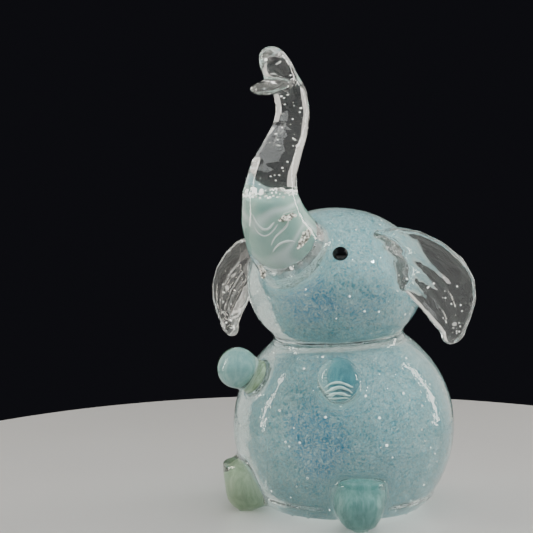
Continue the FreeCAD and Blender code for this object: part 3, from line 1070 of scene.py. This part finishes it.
for side_name, side, size, droop in EAR_SETS:
    ear_seeds = []
    for first, second in zip(EAR_LINE[3:9], EAR_LINE[4:10]):
        for _ in range(EAR_SEEDS_A_STEP):
            along = chance.random()
            aside = chance.uniform(-0.7, 0.7) * first[3]
            outward = first[0] + (second[0] - first[0]) * along + aside * math.sin(math.radians(-first[2]))
            rise = first[1] + (second[1] - first[1]) * along + aside * math.cos(math.radians(-first[2]))
            place = ear_place(outward, rise, side, size, droop)
            ear_seeds.append((place, chance.uniform(0.14, 0.34) * MM))
    seed_cloud(side_name + "_ear_seeds", side_name + "_ear", ear_seeds)

CROWN_FORWARD = 37.9
CROWN_RISE = 29.6
crown_seeds = []
for step in range(CROWN_SEEDS):
    turn = 2 * math.pi * step / CROWN_SEEDS
    reach = chance.uniform(4.8, 6.2) * MM
    lift = chance.uniform(-0.7, 0.9) * MM
    place = head + Vector((reach * math.cos(turn), -CROWN_FORWARD * MM + reach * math.sin(turn),
                           CROWN_RISE * MM + lift))
    crown_seeds.append((place, chance.uniform(0.16, 0.42) * MM))
seed_cloud("opal_crown", "trunk", crown_seeds)


TORN_PAINTED_DARK = (0.03, 0.03, 0.02)
TORN_PAINTED_GLINT = (1.0, 0.96, 0.86)
TEAR_SIZE = 0.0012
TEAR_HEIGHT = 1.5 * MM
torn = Finish("torn_air_painted_glints")
torn_cloud = torn.noise(1400.0)
torn_edge_and_glint = ((torn_cloud - 0.44) * 7.0).clamped()
# painted glint: the pockets' emission, dark or bright by the ragged noise mask, stands in for lamp light
# caught at their torn edges
torn_shader = torn.node("ShaderNodeBsdfPrincipled", Metallic=0.9, Roughness=0.2, Emission_Strength=0.8,
                        Emission_Color=torn.blend(torn_edge_and_glint, TORN_PAINTED_DARK, TORN_PAINTED_GLINT),
                        Base_Color=torn.blend(torn_edge_and_glint, (0.45, 0.44, 0.38), (1.0, 0.98, 0.92)))
torn_air_painted_glints = torn.done(torn_shader)


def torn_pocket(name, middle, right, nearer, size, turn):
    """A flat ragged pocket of air, placed from the head's middle and shifted as the viewer sees it."""
    place = head + (Vector(middle) + to_right * right + to_viewer * nearer) * MM
    bpy.ops.object.select_all(action="DESELECT")
    bpy.ops.mesh.primitive_ico_sphere_add(subdivisions=4, radius=1, location=place,
                                          rotation=(0, turn, VIEW_TURN),
                                          scale=[side * MM for side in size])
    pocket = bpy.context.object
    pocket.name = name
    fix_place(pocket)
    tear = bpy.data.textures.new(name + "_tear", "CLOUDS")
    tear.noise_scale = TEAR_SIZE
    apply_modifier(pocket, "DISPLACE", texture=tear, strength=TEAR_HEIGHT, mid_level=0.5,
                   texture_coords="LOCAL")
    bpy.ops.object.shade_smooth()
    pocket.data.materials.append(torn_air_painted_glints)
    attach(pocket, "root")
    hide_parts("trunk")


torn_pocket("upper_pocket", (0, -35.5, 23), right=3.6, nearer=7.4, size=(2.9, 0.5, 0.9),
            turn=math.radians(-15))
torn_pocket("lower_pocket", (0, -27, 16.0), right=2.5, nearer=9.4, size=(4.8, 0.6, 1.7),
            turn=math.radians(-40))
torn_pocket("slot_pocket", (0, -22, 6.2), right=-11.2, nearer=9.1, size=(1.3, 0.5, 3.0),
            turn=math.radians(5))


# Eyes. Dots of black glass, dropped on from a thin hot rod beside the trunk's root. They stay proud of
# the head as small round beads.
EYE_SEGMENTS = 32
EYE_RINGS = 20
EYE_FLATTENED = 0.9
BLACK = (0.003, 0.003, 0.004)
BLACK_SPECK = (0.008, 0.008, 0.009)
black = Finish("black_glass")
speck = black.noise(300.0)
black_shader = black.node("ShaderNodeBsdfPrincipled", Roughness=0.06,
                          Base_Color=black.blend(speck, BLACK, BLACK_SPECK))
black_glass = black.done(black_shader)
for side_name in ("left", "right"):
    node = side_name + "_eye"
    low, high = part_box(node)
    middle = (Vector(low) + Vector(high)) / 2
    radius = (high[0] - low[0]) / 2
    bpy.ops.object.select_all(action="DESELECT")
    bpy.ops.mesh.primitive_uv_sphere_add(segments=EYE_SEGMENTS, ring_count=EYE_RINGS, radius=radius,
                                         location=middle)
    eye = bpy.context.object
    eye.name = node + "_dot"
    fix_place(eye)
    start_edit(eye)
    bpy.ops.mesh.select_all(action="SELECT")
    bpy.ops.transform.resize(value=(1.0, 1.0, EYE_FLATTENED), center_override=middle)
    end_edit()
    bpy.ops.object.shade_smooth()
    eye.data.materials.append(black_glass)
    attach(eye, "root")
    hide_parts(node)


low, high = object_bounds()
